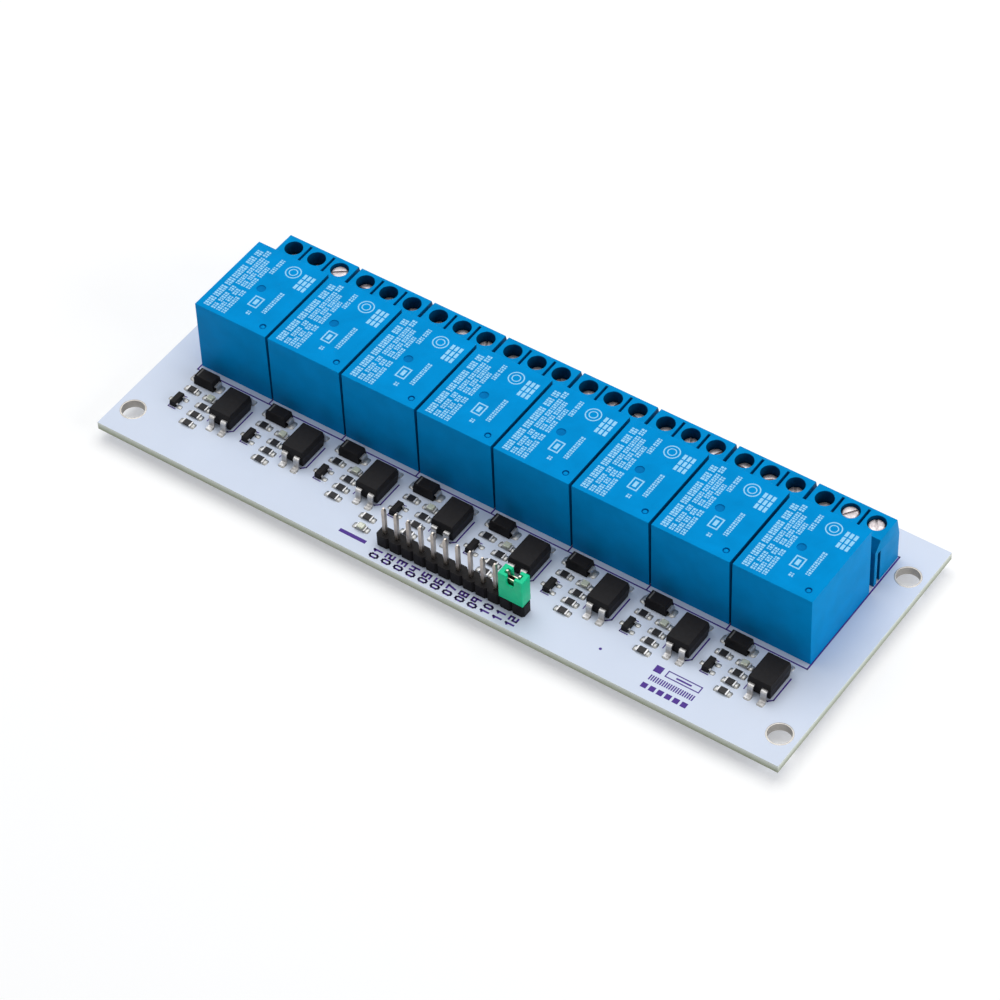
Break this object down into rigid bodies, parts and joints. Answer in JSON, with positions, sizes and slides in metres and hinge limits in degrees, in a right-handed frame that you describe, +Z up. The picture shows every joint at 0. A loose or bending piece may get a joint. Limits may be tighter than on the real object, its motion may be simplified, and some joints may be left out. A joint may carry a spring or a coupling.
{
  "type": "relay module board",
  "caption": "Circuit board with a row of sealed relays, screw terminal blocks behind them, small parts and a pin header with a jumper in front, and corner mounting holes.",
  "frame": {"origin": "centre of the bounding box's bottom, on the plane that the trimmed pin tails under the board rest on", "axes": "+X along the row of relays, +Y towards the wire side of the terminal blocks, +Z up from the board"},
  "size_m": [0.1404, 0.0552, 0.0191],
  "materials": {
    "board": "white solder mask",
    "relay_case": "fine satin moulding",
    "relay_base": "moulded",
    "iron": "nickel plated",
    "bobbin": "moulded",
    "winding": "enamelled copper wire",
    "tinned": "tinned",
    "contact": "bright",
    "clamp": "nickel plated",
    "screw": "zinc plated",
    "terminal": "moulded",
    "black_moulding": "moulded",
    "pin": "tin plated",
    "lens": "clear resin",
    "jumper": "moulded"
  },
  "bodies": {
    "board_assembly": {"circuit_board": "board", "relay_cases": "relay_case", "relay_bases": "relay_base", "relay_yokes": "iron", "relay_cores": "iron", "relay_bobbins": "bobbin", "relay_windings": "winding", "relay_coil_pins": "tinned", "relay_fixed_contacts": "contact", "terminal_clamps": "clamp", "header_strip": "black_moulding", "header_pins": "pin", "optocouplers": "black_moulding", "diodes": "black_moulding", "transistors": "black_moulding", "semiconductor_leads": "tinned", "resistors": "black_moulding", "indicator_leds": "lens", "terminal_block_1": "terminal", "terminal_block_2": "terminal", "terminal_block_3": "terminal", "terminal_block_4": "terminal", "terminal_block_5": "terminal", "terminal_block_6": "terminal", "terminal_block_7": "terminal", "terminal_block_8": "terminal"},
    "jumper": {"jumper_cap": "jumper", "jumper_contact": "contact"},
    "terminal_screw_01": {"terminal_screw_01": "screw"},
    "terminal_screw_02": {"terminal_screw_02": "screw"},
    "terminal_screw_03": {"terminal_screw_03": "screw"},
    "terminal_screw_04": {"terminal_screw_04": "screw"},
    "terminal_screw_05": {"terminal_screw_05": "screw"},
    "terminal_screw_06": {"terminal_screw_06": "screw"},
    "terminal_screw_07": {"terminal_screw_07": "screw"},
    "terminal_screw_08": {"terminal_screw_08": "screw"},
    "terminal_screw_09": {"terminal_screw_09": "screw"},
    "terminal_screw_10": {"terminal_screw_10": "screw"},
    "terminal_screw_11": {"terminal_screw_11": "screw"},
    "terminal_screw_12": {"terminal_screw_12": "screw"},
    "terminal_screw_13": {"terminal_screw_13": "screw"},
    "terminal_screw_14": {"terminal_screw_14": "screw"},
    "terminal_screw_15": {"terminal_screw_15": "screw"},
    "terminal_screw_16": {"terminal_screw_16": "screw"},
    "terminal_screw_17": {"terminal_screw_17": "screw"},
    "terminal_screw_18": {"terminal_screw_18": "screw"},
    "terminal_screw_19": {"terminal_screw_19": "screw"},
    "terminal_screw_20": {"terminal_screw_20": "screw"},
    "terminal_screw_21": {"terminal_screw_21": "screw"},
    "terminal_screw_22": {"terminal_screw_22": "screw"},
    "terminal_screw_23": {"terminal_screw_23": "screw"},
    "terminal_screw_24": {"terminal_screw_24": "screw"},
    "relay_armature_1": {"relay_armature_1": "iron"},
    "relay_armature_2": {"relay_armature_2": "iron"},
    "relay_armature_3": {"relay_armature_3": "iron"},
    "relay_armature_4": {"relay_armature_4": "iron"},
    "relay_armature_5": {"relay_armature_5": "iron"},
    "relay_armature_6": {"relay_armature_6": "iron"},
    "relay_armature_7": {"relay_armature_7": "iron"},
    "relay_armature_8": {"relay_armature_8": "iron"}
  },
  "joints": [
    {"name": "terminal_screw_01_turn", "type": "hinge", "parent": "board_assembly", "child": "terminal_screw_01", "pos_m": [-0.06064, 0.01835, 0.00965], "axis": [0, 0, 1], "range_deg": [-180, 1620]},
    {"name": "terminal_screw_02_turn", "type": "hinge", "parent": "board_assembly", "child": "terminal_screw_02", "pos_m": [-0.05556, 0.01835, 0.0096], "axis": [0, 0, 1], "range_deg": [-144, 1656]},
    {"name": "terminal_screw_03_turn", "type": "hinge", "parent": "board_assembly", "child": "terminal_screw_03", "pos_m": [-0.05048, 0.01835, 0.0118], "axis": [0, 0, 1], "range_deg": [-1728, 72]},
    {"name": "terminal_screw_04_turn", "type": "hinge", "parent": "board_assembly", "child": "terminal_screw_04", "pos_m": [-0.04477, 0.01835, 0.0105], "axis": [0, 0, 1], "range_deg": [-792, 1008]},
    {"name": "terminal_screw_05_turn", "type": "hinge", "parent": "board_assembly", "child": "terminal_screw_05", "pos_m": [-0.03969, 0.01835, 0.0099], "axis": [0, 0, 1], "range_deg": [-360, 1440]},
    {"name": "terminal_screw_06_turn", "type": "hinge", "parent": "board_assembly", "child": "terminal_screw_06", "pos_m": [-0.03461, 0.01835, 0.00995], "axis": [0, 0, 1], "range_deg": [-396, 1404]},
    {"name": "terminal_screw_07_turn", "type": "hinge", "parent": "board_assembly", "child": "terminal_screw_07", "pos_m": [-0.02889, 0.01835, 0.00978], "axis": [0, 0, 1], "range_deg": [-270, 1530]},
    {"name": "terminal_screw_08_turn", "type": "hinge", "parent": "board_assembly", "child": "terminal_screw_08", "pos_m": [-0.02381, 0.01835, 0.0104], "axis": [0, 0, 1], "range_deg": [-720, 1080]},
    {"name": "terminal_screw_09_turn", "type": "hinge", "parent": "board_assembly", "child": "terminal_screw_09", "pos_m": [-0.01873, 0.01835, 0.01035], "axis": [0, 0, 1], "range_deg": [-684, 1116]},
    {"name": "terminal_screw_10_turn", "type": "hinge", "parent": "board_assembly", "child": "terminal_screw_10", "pos_m": [-0.01302, 0.01835, 0.01], "axis": [0, 0, 1], "range_deg": [-432, 1368]},
    {"name": "terminal_screw_11_turn", "type": "hinge", "parent": "board_assembly", "child": "terminal_screw_11", "pos_m": [-0.00794, 0.01835, 0.00995], "axis": [0, 0, 1], "range_deg": [-396, 1404]},
    {"name": "terminal_screw_12_turn", "type": "hinge", "parent": "board_assembly", "child": "terminal_screw_12", "pos_m": [-0.00286, 0.01835, 0.0099], "axis": [0, 0, 1], "range_deg": [-360, 1440]},
    {"name": "terminal_screw_13_turn", "type": "hinge", "parent": "board_assembly", "child": "terminal_screw_13", "pos_m": [0.00286, 0.01835, 0.0101], "axis": [0, 0, 1], "range_deg": [-504, 1296]},
    {"name": "terminal_screw_14_turn", "type": "hinge", "parent": "board_assembly", "child": "terminal_screw_14", "pos_m": [0.00794, 0.01835, 0.01015], "axis": [0, 0, 1], "range_deg": [-540, 1260]},
    {"name": "terminal_screw_15_turn", "type": "hinge", "parent": "board_assembly", "child": "terminal_screw_15", "pos_m": [0.01302, 0.01835, 0.01015], "axis": [0, 0, 1], "range_deg": [-540, 1260]},
    {"name": "terminal_screw_16_turn", "type": "hinge", "parent": "board_assembly", "child": "terminal_screw_16", "pos_m": [0.01873, 0.01835, 0.01005], "axis": [0, 0, 1], "range_deg": [-468, 1332]},
    {"name": "terminal_screw_17_turn", "type": "hinge", "parent": "board_assembly", "child": "terminal_screw_17", "pos_m": [0.02381, 0.01835, 0.0103], "axis": [0, 0, 1], "range_deg": [-648, 1152]},
    {"name": "terminal_screw_18_turn", "type": "hinge", "parent": "board_assembly", "child": "terminal_screw_18", "pos_m": [0.02889, 0.01835, 0.0105], "axis": [0, 0, 1], "range_deg": [-792, 1008]},
    {"name": "terminal_screw_19_turn", "type": "hinge", "parent": "board_assembly", "child": "terminal_screw_19", "pos_m": [0.03461, 0.01835, 0.01035], "axis": [0, 0, 1], "range_deg": [-684, 1116]},
    {"name": "terminal_screw_20_turn", "type": "hinge", "parent": "board_assembly", "child": "terminal_screw_20", "pos_m": [0.03969, 0.01835, 0.01045], "axis": [0, 0, 1], "range_deg": [-756, 1044]},
    {"name": "terminal_screw_21_turn", "type": "hinge", "parent": "board_assembly", "child": "terminal_screw_21", "pos_m": [0.04477, 0.01835, 0.01035], "axis": [0, 0, 1], "range_deg": [-684, 1116]},
    {"name": "terminal_screw_22_turn", "type": "hinge", "parent": "board_assembly", "child": "terminal_screw_22", "pos_m": [0.05048, 0.01835, 0.00995], "axis": [0, 0, 1], "range_deg": [-396, 1404]},
    {"name": "terminal_screw_23_turn", "type": "hinge", "parent": "board_assembly", "child": "terminal_screw_23", "pos_m": [0.05556, 0.01835, 0.0119], "axis": [0, 0, 1], "range_deg": [-1800, 0]},
    {"name": "terminal_screw_24_turn", "type": "hinge", "parent": "board_assembly", "child": "terminal_screw_24", "pos_m": [0.06064, 0.01835, 0.01175], "axis": [0, 0, 1], "range_deg": [-1692, 108]},
    {"name": "relay_armature_1_hinge", "type": "hinge", "parent": "board_assembly", "child": "relay_armature_1", "pos_m": [-0.05556, -0.00525, 0.01425], "axis": [1, 0, 0], "range_deg": [-4, 0], "stiffness_Nm_per_rad": 0.002, "springref_deg": 5.73},
    {"name": "relay_armature_2_hinge", "type": "hinge", "parent": "board_assembly", "child": "relay_armature_2", "pos_m": [-0.03969, -0.00525, 0.01425], "axis": [1, 0, 0], "range_deg": [-4, 0], "stiffness_Nm_per_rad": 0.002, "springref_deg": 5.73},
    {"name": "relay_armature_3_hinge", "type": "hinge", "parent": "board_assembly", "child": "relay_armature_3", "pos_m": [-0.02381, -0.00525, 0.01425], "axis": [1, 0, 0], "range_deg": [-4, 0], "stiffness_Nm_per_rad": 0.002, "springref_deg": 5.73},
    {"name": "relay_armature_4_hinge", "type": "hinge", "parent": "board_assembly", "child": "relay_armature_4", "pos_m": [-0.00794, -0.00525, 0.01425], "axis": [1, 0, 0], "range_deg": [-4, 0], "stiffness_Nm_per_rad": 0.002, "springref_deg": 5.73},
    {"name": "relay_armature_5_hinge", "type": "hinge", "parent": "board_assembly", "child": "relay_armature_5", "pos_m": [0.00794, -0.00525, 0.01425], "axis": [1, 0, 0], "range_deg": [-4, 0], "stiffness_Nm_per_rad": 0.002, "springref_deg": 5.73},
    {"name": "relay_armature_6_hinge", "type": "hinge", "parent": "board_assembly", "child": "relay_armature_6", "pos_m": [0.02381, -0.00525, 0.01425], "axis": [1, 0, 0], "range_deg": [-4, 0], "stiffness_Nm_per_rad": 0.002, "springref_deg": 5.73},
    {"name": "relay_armature_7_hinge", "type": "hinge", "parent": "board_assembly", "child": "relay_armature_7", "pos_m": [0.03969, -0.00525, 0.01425], "axis": [1, 0, 0], "range_deg": [-4, 0], "stiffness_Nm_per_rad": 0.002, "springref_deg": 5.73},
    {"name": "relay_armature_8_hinge", "type": "hinge", "parent": "board_assembly", "child": "relay_armature_8", "pos_m": [0.05556, -0.00525, 0.01425], "axis": [1, 0, 0], "range_deg": [-4, 0], "stiffness_Nm_per_rad": 0.002, "springref_deg": 5.73},
    {"name": "jumper_pull", "type": "slide", "parent": "board_assembly", "child": "jumper", "axis": [0, 0, 1], "range_m": [0, 0.0065]}
  ]
}
